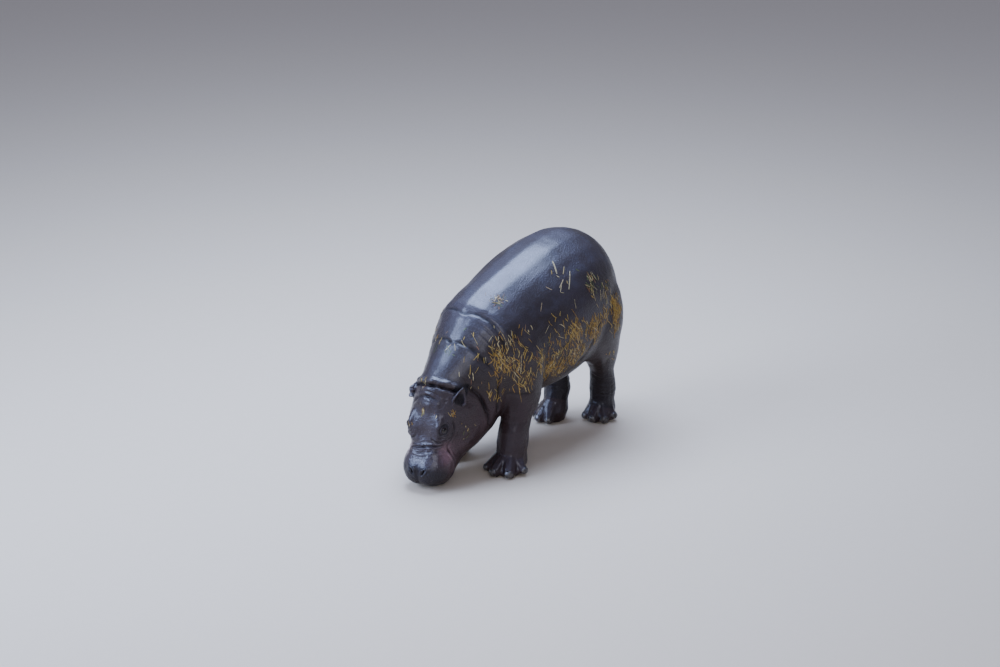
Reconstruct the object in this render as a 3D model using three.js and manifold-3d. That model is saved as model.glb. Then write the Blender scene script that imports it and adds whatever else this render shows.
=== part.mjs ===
// A young pygmy hippopotamus standing with its head lowered to drink.
// Millimetres, +Z up, +X the way the animal faces, +Y its left side.
// Every form is a field: a function of a point that is negative inside the flesh. Rays cast
// from a line inside each part find the surface, ring by ring, which makes a closed solid.

import * as THREE from "three";
import { mergeVertices } from "three/addons/utils/BufferGeometryUtils.js";
import Module from "manifold-3d";

const wasm = await Module();
wasm.setup();

// ---- Driving dimensions ----

const gap = 0.3; // clearance between neighbouring solids
const backHeight = 640; // floor to the highest point of the rump
const barrelHalfWidth = 190; // widest point of the belly
const headPitch = 69; // degrees that the head hangs below level
const headTurn = 8; // degrees that the head turns to its left
const headLength = 258; // poll to the front of the muzzle
const pollX = 405; // where the poll stands, ahead of the middle of the trunk
const pollY = -12; // and to the right of it
const pollZ = 280; // height of the poll
const eyeRadius = 12.5;
const eyeAlong = 91; // from the poll towards the muzzle
const eyeAside = 56; // from the middle plane
const eyeDepth = -10; // below the brow line
const tailLength = 140;
const earLength = 56;
const earHalfWidth = 23;

// ---- Fields ----

const vec = (x, y, z) => new THREE.Vector3(x, y, z);

function smoothMin(a, b, softness) {
  const h = Math.max(softness - Math.abs(a - b), 0) / softness;
  return Math.min(a, b) - (h * h * softness) / 4;
}

// A blend of several forms, rounded where they join.
function blend(softness, ...fields) {
  return (p) => fields.reduce((d, field) => smoothMin(d, field(p), softness), Infinity);
}

// An ellipsoid, turned nose-down by pitch and then to its left by yaw, both in degrees.
function ellipsoid(centre, radii, pitch = 0, yaw = 0) {
  const turn = new THREE.Quaternion().setFromEuler(
    new THREE.Euler(0, THREE.MathUtils.degToRad(pitch), THREE.MathUtils.degToRad(yaw), "ZYX"),
  );
  const back = turn.clone().invert();
  const q = vec(0, 0, 0);
  return (p) => {
    q.copy(p).sub(centre).applyQuaternion(back);
    const near = Math.hypot(q.x / radii.x, q.y / radii.y, q.z / radii.z);
    const slope = Math.hypot(q.x / radii.x ** 2, q.y / radii.y ** 2, q.z / radii.z ** 2);
    return slope < 1e-9 ? -Math.min(radii.x, radii.y, radii.z) : (near * (near - 1)) / slope;
  };
}

// A rod from a to b whose radius runs from startRadius to endRadius.
function taper(a, b, startRadius, endRadius) {
  const along = b.clone().sub(a);
  const q = vec(0, 0, 0);
  return (p) => {
    q.copy(p).sub(a);
    const share = THREE.MathUtils.clamp(q.dot(along) / along.lengthSq(), 0, 1);
    return q.addScaledVector(along, -share).length() - THREE.MathUtils.lerp(startRadius, endRadius, share);
  };
}

// ---- Surfaces found by rays ----

const rayStep = 5;
const rayHalvings = 14;

function castRay(field, origin, direction, reach) {
  const p = vec(0, 0, 0);
  let low = 0;
  let high = reach;
  for (let far = rayStep; far < reach; far += rayStep) {
    if (field(p.copy(origin).addScaledVector(direction, far)) > 0) {
      high = far;
      break;
    }
    low = far;
  }
  for (let i = 0; i < rayHalvings; i++) {
    const middle = (low + high) / 2;
    if (field(p.copy(origin).addScaledVector(direction, middle)) > 0) high = middle;
    else low = middle;
  }
  return origin.clone().addScaledVector(direction, (low + high) / 2);
}

// One ring of surface points around a station. A tilt leans the rays along the station's axis.
function ring(field, station, sides, tilt = 0, reach = 400) {
  const across = vec(0, 1, 0);
  const up = station.axis.clone().cross(across).normalize();
  const points = [];
  for (let i = 0; i < sides; i++) {
    const turn = (2 * Math.PI * i) / sides;
    const direction = across
      .clone()
      .multiplyScalar(Math.cos(turn) * Math.cos(tilt))
      .addScaledVector(up, Math.sin(turn) * Math.cos(tilt))
      .addScaledVector(station.axis, Math.sin(tilt));
    points.push(castRay(field, station.centre, direction, reach));
  }
  return points;
}

// Rings that close over one end, from the pole inwards. End is -1 at the start and 1 at the finish.
function dome(field, station, sides, rings, end) {
  const made = [];
  for (let k = 1; k < rings; k++) {
    made.push(ring(field, station, sides, end * (Math.PI / 2) * (1 - k / rings)));
  }
  const pole = castRay(field, station.centre, station.axis.clone().multiplyScalar(end), 400);
  return { pole, rings: made };
}

// A closed solid through rings of points, with a point or a flat face at each end.
function solidThroughRings(rings, startPole, endPole) {
  const sides = rings[0].length;
  const middleOf = (points) =>
    points.reduce((sum, p) => sum.add(p), vec(0, 0, 0)).divideScalar(points.length);
  const points = [startPole ?? middleOf(rings[0]), ...rings.flat(), endPole ?? middleOf(rings.at(-1))];
  const last = points.length - 1;
  const faces = [];
  for (let i = 0; i < sides; i++) {
    const next = (i + 1) % sides;
    faces.push([0, 1 + next, 1 + i]);
    for (let k = 0; k < rings.length - 1; k++) {
      const a = 1 + k * sides;
      const b = a + sides;
      faces.push([a + i, a + next, b + next], [a + i, b + next, b + i]);
    }
    const end = 1 + (rings.length - 1) * sides;
    faces.push([last, end + i, end + next]);
  }
  const outward = (sum, [a, b, c]) => sum + points[a].dot(points[b].clone().cross(points[c]));
  const facesOut = faces.reduce(outward, 0) > 0 ? faces : faces.map(([a, b, c]) => [a, c, b]);
  return new wasm.Manifold(
    new wasm.Mesh({
      numProp: 3,
      vertProperties: new Float32Array(points.flatMap((p) => p.toArray())),
      triVerts: new Uint32Array(facesOut.flat()),
    }),
  );
}

// A three.js geometry as a solid.
function solidOf(geometry) {
  const bare = geometry.clone();
  bare.deleteAttribute("normal");
  bare.deleteAttribute("uv");
  const merged = mergeVertices(bare, 1e-4);
  return new wasm.Manifold(
    new wasm.Mesh({
      numProp: 3,
      vertProperties: merged.attributes.position.array,
      triVerts: new Uint32Array(merged.index.array),
    }),
  );
}

// The largest of the bodies that a cut leaves.
const largestOf = (solid) =>
  solid.decompose().reduce((best, body) => (body.volume() > best.volume() ? body : best));

function geometryOf(solid) {
  const mesh = solid.getMesh();
  const positions = new Float32Array(mesh.numVert * 3);
  for (let i = 0; i < mesh.numVert; i++) {
    for (let k = 0; k < 3; k++) positions[3 * i + k] = mesh.vertProperties[i * mesh.numProp + k];
  }
  const geometry = new THREE.BufferGeometry();
  geometry.setAttribute("position", new THREE.BufferAttribute(positions, 3));
  geometry.setIndex(Array.from(mesh.triVerts));
  geometry.computeVertexNormals();
  return geometry;
}

// ---- The head's own axes ----

const pitch = THREE.MathUtils.degToRad(headPitch);
const turnOfHead = new THREE.Quaternion().setFromAxisAngle(vec(0, 0, 1), THREE.MathUtils.degToRad(headTurn));
const headAlong = vec(Math.cos(pitch), 0, -Math.sin(pitch)).applyQuaternion(turnOfHead); // poll to muzzle
const headOut = vec(Math.sin(pitch), 0, Math.cos(pitch)).applyQuaternion(turnOfHead); // out of the brow
const headAside = vec(0, 1, 0).applyQuaternion(turnOfHead); // to its left
const poll = vec(pollX, pollY, pollZ);

// A point on the head: along it from the poll, aside from the middle, and out from the brow line.
const onHead = (along, aside, out) =>
  poll
    .clone()
    .addScaledVector(headAlong, along)
    .addScaledVector(headAside, aside)
    .addScaledVector(headOut, out);

const onHeadEllipsoid = (along, aside, out, radii, extraPitch = 0) =>
  ellipsoid(onHead(along, aside, out), radii, headPitch + extraPitch, headTurn);

// The same head form on its left and its right.
const onBothSides = (along, aside, out, radii) =>
  blend(20, onHeadEllipsoid(along, aside, out, radii), onHeadEllipsoid(along, -aside, out, radii));

// ---- Body forms ----

const trunkField = blend(
  70,
  ellipsoid(vec(-208, 0, backHeight - 214), vec(202, 162, 214), 8),
  ellipsoid(vec(-70, 0, backHeight - 239), vec(270, barrelHalfWidth, 225), 12),
  ellipsoid(vec(110, 0, 370), vec(212, 138, 196), 22),
);

const neckField = blend(
  60,
  taper(vec(170, 0, 388), vec(348, -8, 286), 148, 79),
  taper(vec(196, 0, 300), vec(322, -4, 222), 106, 78),
  ellipsoid(vec(228, 46, 232), vec(62, 58, 95)),
  ellipsoid(vec(228, -46, 232), vec(62, 58, 95)),
);

const headField = blend(
  34,
  onHeadEllipsoid(48, 0, -56, vec(70, 72, 54)),
  onHeadEllipsoid(88, 0, -44, vec(60, 62, 42)),
  onBothSides(68, 62, -136, vec(80, 50, 78)),
  onHeadEllipsoid(150, 0, -56, vec(84, 58, 42)),
  onBothSides(eyeAlong - 2, eyeAside - 14, eyeDepth - 7, vec(29, 20, 21)),
  onHeadEllipsoid(headLength - 47, 0, -60, vec(45, 61, 46)),
  onBothSides(headLength - 45, 30, -59, vec(44, 40, 45)),
  onBothSides(headLength - 20, 21, -34, vec(15, 14, 14)),
  onBothSides(138, 31, -116, vec(84, 40, 54)),
  onHeadEllipsoid(headLength - 54, 0, -92, vec(45, 50, 38)),
);

const wholeField = blend(46, trunkField, neckField, headField);

// ---- Spine, neck and head, ring by ring ----

const spineSides = 24;
const spineCurve = new THREE.CatmullRomCurve3([
  vec(-250, 0, 425),
  vec(-150, 0, 420),
  vec(-20, 0, 400),
  vec(90, 0, 375),
  vec(180, 0, 352),
  vec(262, -2, 318),
  vec(325, -8, 258),
  onHead(44, 0, -66),
  onHead(130, 0, -64),
  onHead(headLength - 55, 0, -60),
]);

function stationAt(curve, share) {
  return { centre: curve.getPointAt(share), axis: curve.getTangentAt(share) };
}

// Shifts a ring along its station's axis, to leave half of the gap on each side of a cut.
const shifted = (points, station, distance) =>
  points.map((p) => p.clone().addScaledVector(station.axis, distance));

const trunkShare = 0.53; // of the spine, where the neck starts
const neckShare = 0.75; // of the spine, where the head starts
const neckStart = stationAt(spineCurve, trunkShare);
const headStart = stationAt(spineCurve, neckShare);

const ringsBetween = (field, curve, from, to, count, sides) =>
  Array.from({ length: count }, (_, i) =>
    ring(field, stationAt(curve, from + ((to - from) * (i + 1)) / (count + 1)), sides),
  );

function makeTrunk(field) {
  const rump = dome(field, stationAt(spineCurve, 0), spineSides, 6, -1);
  return solidThroughRings(
    [
      ...rump.rings,
      ring(field, stationAt(spineCurve, 0), spineSides),
      ...ringsBetween(field, spineCurve, 0, trunkShare, 8, spineSides),
      shifted(ring(field, neckStart, spineSides), neckStart, -gap / 2),
    ],
    rump.pole,
  );
}

// Grown by the gap, the neck and the head cut their seats in what touches them.
function makeNeck(growth = 0) {
  const field = (p) => wholeField(p) - growth;
  return solidThroughRings([
    shifted(ring(field, neckStart, spineSides), neckStart, gap / 2 - growth),
    ...ringsBetween(field, spineCurve, trunkShare, neckShare, 5, spineSides),
    shifted(ring(field, headStart, spineSides), headStart, growth - gap / 2),
  ]);
}

function makeHead(growth = 0) {
  const field = (p) => wholeField(p) - growth;
  const muzzle = dome(field, stationAt(spineCurve, 1), spineSides, 7, 1);
  return solidThroughRings(
    [
      shifted(ring(field, headStart, spineSides), headStart, gap / 2),
      ...ringsBetween(field, spineCurve, neckShare, 1, 11, spineSides),
      ring(field, stationAt(spineCurve, 1), spineSides),
      ...muzzle.rings.reverse(),
    ],
    undefined,
    muzzle.pole,
  );
}

// ---- Legs ----

const legSides = 14;

// The muscle that each leg hangs from.
const haunch = { along: -252, aside: 97, up: 372, radii: vec(118, 78, 154) };
const shoulder = { along: 124, aside: 98, up: 342, radii: vec(98, 74, 134) };

// Each leg runs from its muscle through knee or elbow, ankle or wrist, to the foot on the floor.
const legs = {
  front_left: {
    mass: shoulder,
    bend: vec(140, 110, 232),
    joint: vec(168, 112, 98),
    foot: vec(176, 110, 44),
    turn: 14,
  },
  front_right: {
    mass: shoulder,
    bend: vec(148, -108, 232),
    joint: vec(174, -104, 98),
    foot: vec(188, -104, 44),
    turn: -16,
  },
  hind_left: {
    mass: haunch,
    bend: vec(-306, 88, 240),
    joint: vec(-334, 77, 104),
    foot: vec(-330, 76, 40),
    turn: 24,
  },
  hind_right: {
    mass: haunch,
    bend: vec(-250, -64, 240),
    joint: vec(-248, -36, 104),
    foot: vec(-228, -34, 40),
    turn: -34,
  },
};

const bendRadius = { front: 50, hind: 44 };
const ankleRadius = { front: 39, hind: 33 };
const toeReach = { front: 88, hind: 70 };
const toes = [
  { name: "inner", turn: -52, reach: 0.94, radius: 17, lift: 2 },
  { name: "fore_inner", turn: -17, reach: 1, radius: 20, lift: 0 },
  { name: "fore_outer", turn: 20, reach: 0.97, radius: 20, lift: 0 },
  { name: "outer", turn: 62, reach: 0.84, radius: 17, lift: 6 },
];
const toeRoot = { reach: 10, rise: 14, radius: 28 }; // where each toe springs from the foot
const toeSides = 7;

function toeLine(leg, toe, place, side) {
  const turn = THREE.MathUtils.degToRad(leg.turn + side * toe.turn);
  const out = vec(Math.cos(turn), Math.sin(turn), 0);
  const reach = toeReach[place] * toe.reach - toe.radius;
  return {
    out,
    root: vec(leg.foot.x, leg.foot.y, leg.foot.z + toeRoot.rise).addScaledVector(out, toeRoot.reach),
    tip: vec(leg.foot.x, leg.foot.y, toe.radius * 0.86 + toe.lift).addScaledVector(out, reach),
  };
}

const aboveFloor = (field) => (p) => Math.max(field(p), -p.z);

function makeToe(leg, toe, place, side) {
  const line = toeLine(leg, toe, place, side);
  const field = aboveFloor(taper(line.root, line.tip, toeRoot.radius, toe.radius));
  const curve = new THREE.LineCurve3(line.root, line.tip);
  const tip = dome(field, stationAt(curve, 1), toeSides, 2, 1);
  const rings = [0.1, 1].map((share) => ring(field, stationAt(curve, share), toeSides));
  return solidThroughRings([...rings, ...tip.rings.reverse()], undefined, tip.pole);
}

function limbField(leg, place, side) {
  const { along, aside, up, radii } = leg.mass;
  const mass = vec(along, side * aside, up);
  const ankle = ankleRadius[place];
  const elbow = vec(leg.bend.x - 30, leg.bend.y, leg.bend.z - 4);
  return aboveFloor(
    blend(
      40,
      ellipsoid(mass, radii),
      taper(mass, leg.bend, radii.y * 0.8, bendRadius[place]),
      ...(place === "front" ? [ellipsoid(elbow, vec(42, 38, 58))] : []),
      taper(leg.bend, leg.joint, bendRadius[place], ankle),
      taper(leg.joint, leg.foot, ankle, ankle - 1),
      ellipsoid(vec(leg.foot.x + 2, leg.foot.y, 22), vec(ankle + 12, ankle + 6, 32)),
    ),
  );
}

// Limb rings are level, so that the sole is flat and the cuts between lengths are level too.
function levelStation(points, height) {
  const lower = Math.max(1, points.findIndex((p) => p.z <= height));
  const [a, b] = [points[lower - 1], points[lower]];
  return { centre: a.clone().lerp(b, (a.z - height) / (a.z - b.z)), axis: vec(0, 0, -1) };
}

// One leg in lengths, from its muscle down: the upper leg, the shank, then the foot with its toes.
function makeLeg(name) {
  const [place, sideName] = name.split("_");
  const side = sideName === "left" ? 1 : -1;
  const leg = legs[name];
  const limb = limbField(leg, place, side);
  const { along, aside, up, radii } = leg.mass;
  const crest = vec(along, side * aside, up + radii.z);
  const mass = vec(along, side * aside, up);
  const line = [crest, mass, leg.bend, leg.joint, leg.foot, vec(leg.foot.x, leg.foot.y, 0)];
  const kneeLevel = leg.bend.z;
  const ankleLevel = leg.joint.z - 4;
  const levels = (from, to, count, growth = 0) =>
    Array.from({ length: count }, (_, i) =>
      ring((p) => limb(p) - growth, levelStation(line, from + ((to - from) * i) / (count - 1)), legSides),
    );
  const crown = (growth) =>
    [0.98, 0.88, 0.7].map((share) =>
      ring((p) => limb(p) - growth, levelStation(line, up + radii.z * share), legSides),
    );
  const middle = up + radii.z * 0.45;
  const upper = solidThroughRings([...crown(0), ...levels(middle, kneeLevel + gap / 2, 5)]);
  const lower = solidThroughRings(levels(kneeLevel - gap / 2, ankleLevel + gap / 2, 5));
  const seat = solidThroughRings([
    ...crown(gap),
    ...levels(middle, kneeLevel, 5, gap),
    ...levels(kneeLevel, ankleLevel, 5, gap).slice(1),
  ]);
  let foot = solidThroughRings(levels(ankleLevel - gap / 2, 0, 4));
  for (const toe of toes) foot = foot.add(makeToe(leg, toe, place, side));
  for (const toe of toes) foot = foot.subtract(makeNail(leg, toe, place, side, gap));
  const nails = toes.map((toe) => ({ name: toe.name, solid: makeNail(leg, toe, place, side, 0) }));
  return { upper, lower, seat, foot, nails };
}

// A small hoof-like nail that caps a toe. Grown by the gap, it cuts its own seat in the foot.
function makeNail(leg, toe, place, side, growth) {
  const line = toeLine(leg, toe, place, side);
  const size = toe.radius;
  const form = new THREE.SphereGeometry(1, 6, 4);
  form.rotateX(Math.PI / 2);
  form.scale(size * 0.62 + growth, size * 0.8 + growth, size * 0.66 + growth);
  form.rotateZ(Math.atan2(line.out.y, line.out.x));
  const centre = line.tip.clone().addScaledVector(line.out, size * 0.56);
  form.translate(centre.x, centre.y, centre.z - 1);
  return solidOf(form);
}

// ---- Eyes, ears, jaw and tail ----

function makeEye(side, growth) {
  const form = new THREE.SphereGeometry(eyeRadius + growth, 11, 7);
  const centre = onHead(eyeAlong, side * eyeAside, eyeDepth);
  form.translate(centre.x, centre.y, centre.z);
  return solidOf(form);
}

// Where each ear grows and which way it points: the left one stands up, the right one is laid back.
const ears = {
  1: { root: { along: 0, aside: 80, out: -24 }, lean: { aside: 0.42, along: -0.82, out: 0.38 } },
  [-1]: { root: { along: 8, aside: 67, out: -26 }, lean: { aside: 0.3, along: -0.65, out: -0.55 } },
};

// A cupped leaf: wide near the middle, curled forward at its edges, thickest at its root.
function makeEar(side) {
  const { lean, root: at } = ears[side];
  const root = onHead(at.along, side * at.aside, at.out);
  const along = headAside
    .clone()
    .multiplyScalar(side * lean.aside)
    .addScaledVector(headAlong, lean.along)
    .addScaledVector(headOut, lean.out)
    .normalize();
  const facing = headAside
    .clone()
    .multiplyScalar(side * 0.55)
    .addScaledVector(headAlong, 0.45)
    .addScaledVector(headOut, 0.6);
  facing.addScaledVector(along, -facing.dot(along)).normalize();
  const across = facing.clone().cross(along);
  const rows = 6;
  const columns = 4;
  const rings = [];
  for (let i = 0; i <= rows; i++) {
    const share = i / rows;
    const length = share * earLength;
    const halfWidth = earHalfWidth * (0.5 + 0.5 * Math.sin(Math.PI * Math.min(1, 0.15 + share * 0.75)))
      * Math.sqrt(Math.max(0.02, 1 - share ** 4));
    const thickness = THREE.MathUtils.lerp(11, 5, share);
    const curl = 13 * Math.sin(Math.PI * Math.min(0.9, share + 0.1));
    const sheet = (v, lift) =>
      root
        .clone()
        .addScaledVector(along, length - 4 * v * v * share)
        .addScaledVector(across, halfWidth * v)
        .addScaledVector(facing, curl * v * v + lift * (1 - 0.35 * v * v));
    const section = [];
    for (let k = 0; k <= columns; k++) section.push(sheet(-1 + (2 * k) / columns, thickness / 2));
    for (let k = columns; k >= 0; k--) section.push(sheet(-1 + (2 * k) / columns, -thickness / 2));
    rings.push(section);
  }
  return solidThroughRings(rings);
}

// The jaw is what lies below the mouth line, back to under the eye.
const mouthDepth = -93; // below the brow line
const mouthCorner = 132; // from the poll

function jawBlock(growth) {
  const size = 400;
  const block = new THREE.BoxGeometry(size + 2 * growth, size, size + 2 * growth);
  block.rotateY(pitch);
  block.rotateZ(THREE.MathUtils.degToRad(headTurn));
  const centre = onHead(mouthCorner + size / 2, 0, mouthDepth - size / 2);
  block.translate(centre.x, centre.y, centre.z);
  return solidOf(block);
}

function makeTail() {
  const curve = new THREE.CatmullRomCurve3([
    vec(-364, 0, 500),
    vec(-398, 0, 478),
    vec(-417, 0, 440),
    vec(-419, 0, 440 - tailLength * 0.4),
    vec(-411, 0, 440 - tailLength * 0.75),
  ]);
  const sides = 10;
  const rings = [];
  const count = 8;
  for (let i = 0; i <= count; i++) {
    const share = i / count;
    const { centre, axis } = stationAt(curve, share);
    const up = axis.clone().cross(vec(0, 1, 0)).normalize();
    const aside = THREE.MathUtils.lerp(21, 9, share) * Math.sqrt(1 - 0.8 * share ** 6);
    const deep = THREE.MathUtils.lerp(17, 5, share) * Math.sqrt(1 - 0.8 * share ** 6);
    rings.push(
      Array.from({ length: sides }, (_, k) => {
        const turn = (2 * Math.PI * k) / sides;
        return centre
          .clone()
          .add(vec(0, aside * Math.cos(turn), 0))
          .addScaledVector(up, deep * Math.sin(turn));
      }),
    );
  }
  return solidThroughRings(rings);
}

// ---- Assembly ----

const model = new THREE.Group();

function place(name, solid, material) {
  const mesh = new THREE.Mesh(geometryOf(solid), material);
  mesh.name = name;
  model.add(mesh);
}

const finish = (r, g, b, roughness) =>
  new THREE.MeshStandardMaterial({ color: new THREE.Color(r, g, b), roughness, metalness: 0 });
const hide = finish(0.075, 0.06, 0.062, 0.35);
const nailHorn = finish(0.12, 0.1, 0.09, 0.4);
const eyeGloss = finish(0.012, 0.008, 0.006, 0.05);
const sides = { left: 1, right: -1 };

const madeLegs = Object.keys(legs).map((name) => ({ name, ...makeLeg(name) }));
const neckSeat = makeNeck(gap);
const headSeat = makeHead(gap);
const skull = makeHead();

let head = skull.subtract(jawBlock(gap));
for (const [sideName, side] of Object.entries(sides)) {
  head = head.subtract(makeEye(side, gap));
  place("eye_" + sideName, makeEye(side, 0), eyeGloss);
  place("ear_" + sideName, largestOf(makeEar(side).subtract(headSeat).subtract(neckSeat)), hide);
}
place("head", head, hide);
place("lower_jaw", skull.intersect(jawBlock(0)), hide);

let neck = makeNeck();
let trunk = makeTrunk(wholeField);
for (const { name, upper, lower, seat, foot, nails } of madeLegs) {
  neck = neck.subtract(seat);
  trunk = trunk.subtract(seat);
  place(name + "_upper_leg", upper, hide);
  place(name + "_lower_leg", lower, hide);
  place(name + "_foot", foot, hide);
  for (const nail of nails) place(name + "_nail_" + nail.name, nail.solid, nailHorn);
}
place("neck", neck, hide);
place("trunk", trunk, hide);
place("tail", makeTail().subtract(makeTrunk((p) => wholeField(p) - gap)), hide);

// The origin goes to the middle of the footprint, at floor level.
const extent = new THREE.Box3().setFromObject(model);
const middle = extent.getCenter(vec(0, 0, 0));
for (const mesh of model.children) {
  mesh.geometry.translate(-middle.x, -middle.y, -extent.min.z);
}

export default model;
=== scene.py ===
import math
import random

import bmesh
import bpy
import numpy as np
from mathutils import Matrix, Vector
from mathutils.bvhtree import BVHTree


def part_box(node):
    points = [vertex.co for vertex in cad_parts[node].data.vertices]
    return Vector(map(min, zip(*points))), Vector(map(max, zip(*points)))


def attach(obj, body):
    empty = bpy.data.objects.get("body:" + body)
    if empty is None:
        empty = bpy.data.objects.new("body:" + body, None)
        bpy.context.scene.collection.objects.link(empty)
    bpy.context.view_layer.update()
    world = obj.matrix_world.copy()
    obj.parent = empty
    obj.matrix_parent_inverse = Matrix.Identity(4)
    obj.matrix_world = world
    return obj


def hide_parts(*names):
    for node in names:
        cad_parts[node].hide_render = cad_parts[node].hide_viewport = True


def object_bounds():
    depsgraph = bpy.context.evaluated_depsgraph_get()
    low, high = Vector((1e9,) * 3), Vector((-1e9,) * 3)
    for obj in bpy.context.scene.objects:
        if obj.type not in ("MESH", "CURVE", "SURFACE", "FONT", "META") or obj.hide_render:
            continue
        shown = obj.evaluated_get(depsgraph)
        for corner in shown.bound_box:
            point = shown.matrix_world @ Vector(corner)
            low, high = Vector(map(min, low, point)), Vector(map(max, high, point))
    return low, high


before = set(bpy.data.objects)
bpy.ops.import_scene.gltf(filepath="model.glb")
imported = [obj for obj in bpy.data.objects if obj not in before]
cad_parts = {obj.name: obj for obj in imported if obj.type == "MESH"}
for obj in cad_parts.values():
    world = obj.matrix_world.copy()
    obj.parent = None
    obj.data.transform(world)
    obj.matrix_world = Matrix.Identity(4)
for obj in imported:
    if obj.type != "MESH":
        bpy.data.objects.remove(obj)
cadLow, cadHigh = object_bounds()
mm = 0.001
aboveFloor = 0.3 * mm  # the lowest that any point of the skin or a nail may lie

headAim = dict(pitch=69, turn=8, eyeAlong=91, eyeDepth=-10)  # how the head hangs, in degrees; eyes in mm


def boxMiddle(node):
    low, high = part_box(node)
    return (low + high) / 2


def headAxes():
    turned = Matrix.Rotation(math.radians(headAim["turn"]), 3, "Z")
    pitch = math.radians(headAim["pitch"])
    along = turned @ Vector((math.cos(pitch), 0, -math.sin(pitch)))  # poll to muzzle
    aside = turned @ Vector((0, 1, 0))  # to its left
    out = turned @ Vector((math.sin(pitch), 0, math.cos(pitch)))  # out of the brow
    return along, aside, out


alongAxis, asideAxis, outAxis = headAxes()
eyeMiddles = {side: boxMiddle("eye_" + side) for side in ("left", "right")}
poll = (eyeMiddles["left"] + eyeMiddles["right"]) / 2
poll = poll - alongAxis * headAim["eyeAlong"] * mm - outAxis * headAim["eyeDepth"] * mm
headTurn = np.array([alongAxis, asideAxis, outAxis])


def onHead(along, aside, out):  # mm on the head's own axes, as a place in metres
    return poll + (alongAxis * along + asideAxis * aside + outAxis * out) * mm


def headPlaces(points):  # the other way round, for many points at once
    return (points - np.array(poll)) @ headTurn.T / mm


def smoothStep(low, high, value):
    t = np.clip((value - low) / (high - low), 0, 1)
    return t * t * (3 - 2 * t)


wavePlan = dict(count=7, sizes=(0.7, 1.5), turn=6.28, most=3.2)  # how many waves add up, and their sizes


def waves(points, size, seed):  # smooth unevenness from about -1 to 1; size is its wavelength in mm
    pick = np.random.default_rng(seed)
    total = np.zeros(len(points))
    for _ in range(wavePlan["count"]):
        direction = pick.normal(size=3)
        direction /= np.linalg.norm(direction)
        reach = 2 * math.pi / (size * mm * pick.uniform(*wavePlan["sizes"]))
        total += np.sin(points @ direction * reach + pick.uniform(0, wavePlan["turn"]))
    return total / wavePlan["most"]


# The skin is every solid of flesh in one mesh.
skinPlan = dict(
    voxel=2.7,  # mm
    grow=0.5,  # mm that each solid grows, so that the cuts between them close
    blend=14,  # mm over which one part's smoothing runs into the next one's
    giveBack=0.92,  # share of what smoothing takes from the volume that is given back
    mostRounds=260, faceRounds=4, eyeRounds=3, eyeReach=32,
    # mm of smoothing, by a word in the node's name; the first word that fits counts
    spread=dict(eye=3, nail=2, ear_=2.6, upper=17, lower_leg=9, jaw=6.5, foot=4.8, tail=4, head=7.5, neck=16,
                trunk=21),
    crisp=4,  # mm; what is smoothed less than this stays crisp up to its edge
)


def spreadOf(node):
    return next(size for word, size in skinPlan["spread"].items() if word in node)


fleshNodes = [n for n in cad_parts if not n.startswith("eye_") and "_nail_" not in n]


def meshArrays(mesh):
    points = np.empty(len(mesh.vertices) * 3)
    mesh.vertices.foreach_get("co", points)
    edges = np.empty(len(mesh.edges) * 2, dtype=np.int64)
    mesh.edges.foreach_get("vertices", edges)
    return points.reshape(-1, 3), edges.reshape(-1, 2)


def setPoints(mesh, points):
    mesh.vertices.foreach_set("co", np.ascontiguousarray(points, dtype=np.float32).ravel())
    mesh.update()


def meshOf(bm, name):
    mesh = bpy.data.meshes.new(name)
    bm.to_mesh(mesh)
    bm.free()
    return mesh


def grown(node, size):  # a node's mesh with its corners welded and its faces moved out by size in mm
    bm = bmesh.new()
    bm.from_mesh(node.data)
    bmesh.ops.remove_doubles(bm, verts=bm.verts, dist=1e-6)
    bmesh.ops.recalc_face_normals(bm, faces=bm.faces)
    bm.normal_update()
    for v in bm.verts:
        v.co += v.normal * size * mm
    return meshOf(bm, "scratch")


def treeOf(mesh):
    return BVHTree.FromPolygons([v.co for v in mesh.vertices], [tuple(f.vertices) for f in mesh.polygons])


def pointNormals(mesh):
    normals = np.empty(len(mesh.vertices) * 3)
    mesh.vertex_normals.foreach_get("vector", normals)
    return normals.reshape(-1, 3)


class Neighbours:  # averages over each point's neighbours
    def __init__(self, count, edges):
        self.count = count
        self.ends = np.concatenate([edges[:, 0], edges[:, 1]])
        self.others = np.concatenate([edges[:, 1], edges[:, 0]])
        self.shares = np.maximum(np.bincount(self.ends, minlength=count), 1)

    def mean(self, values):
        if values.ndim == 1:
            return np.bincount(self.ends, weights=values[self.others], minlength=self.count) / self.shares
        return np.stack([self.mean(values[:, k]) for k in range(values.shape[1])], axis=1)

    def soften(self, values, rounds, share=0.5):  # rounds: one number, or one for each point
        made = values.copy()
        each = np.broadcast_to(rounds, (self.count,))
        for k in range(int(math.ceil(each.max()))):
            weight = np.clip(each - k, 0, 1) * share
            step = self.mean(made) - made
            made += step * (weight[:, None] if made.ndim == 2 else weight)
        return made

    def smoothed(self, points, rounds):  # softened, with what that took from the volume given back
        once = self.soften(points, rounds)
        return once + (once - self.soften(once, rounds)) * skinPlan["giveBack"]


earPlan = dict(  # in mm; root, lean and facing on the head's axes: along, aside, out
    left=dict(sign=1, root=(0, 80, -24), lean=(-0.82, 0.42, 0.38)),
    right=dict(sign=-1, root=(8, 65, -26), lean=(-0.70, 0.26, -0.40)),
    facing=(0.45, 0.55, 0.60), length=56, halfWidth=21, thickness=5.4,
    rootShare=0.6, swell=1.6, taper=1.6, tip=0.9,  # how the width runs from root to tip
    curl=(112, 40),  # half the arc of a section in degrees, at root and tip
    sweep=9,  # how far the rims lie back at the tip
    rows=16, columns=14, lastRow=0.985, hold=3.5,  # hold: what the folds leave alone around it
)


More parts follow.
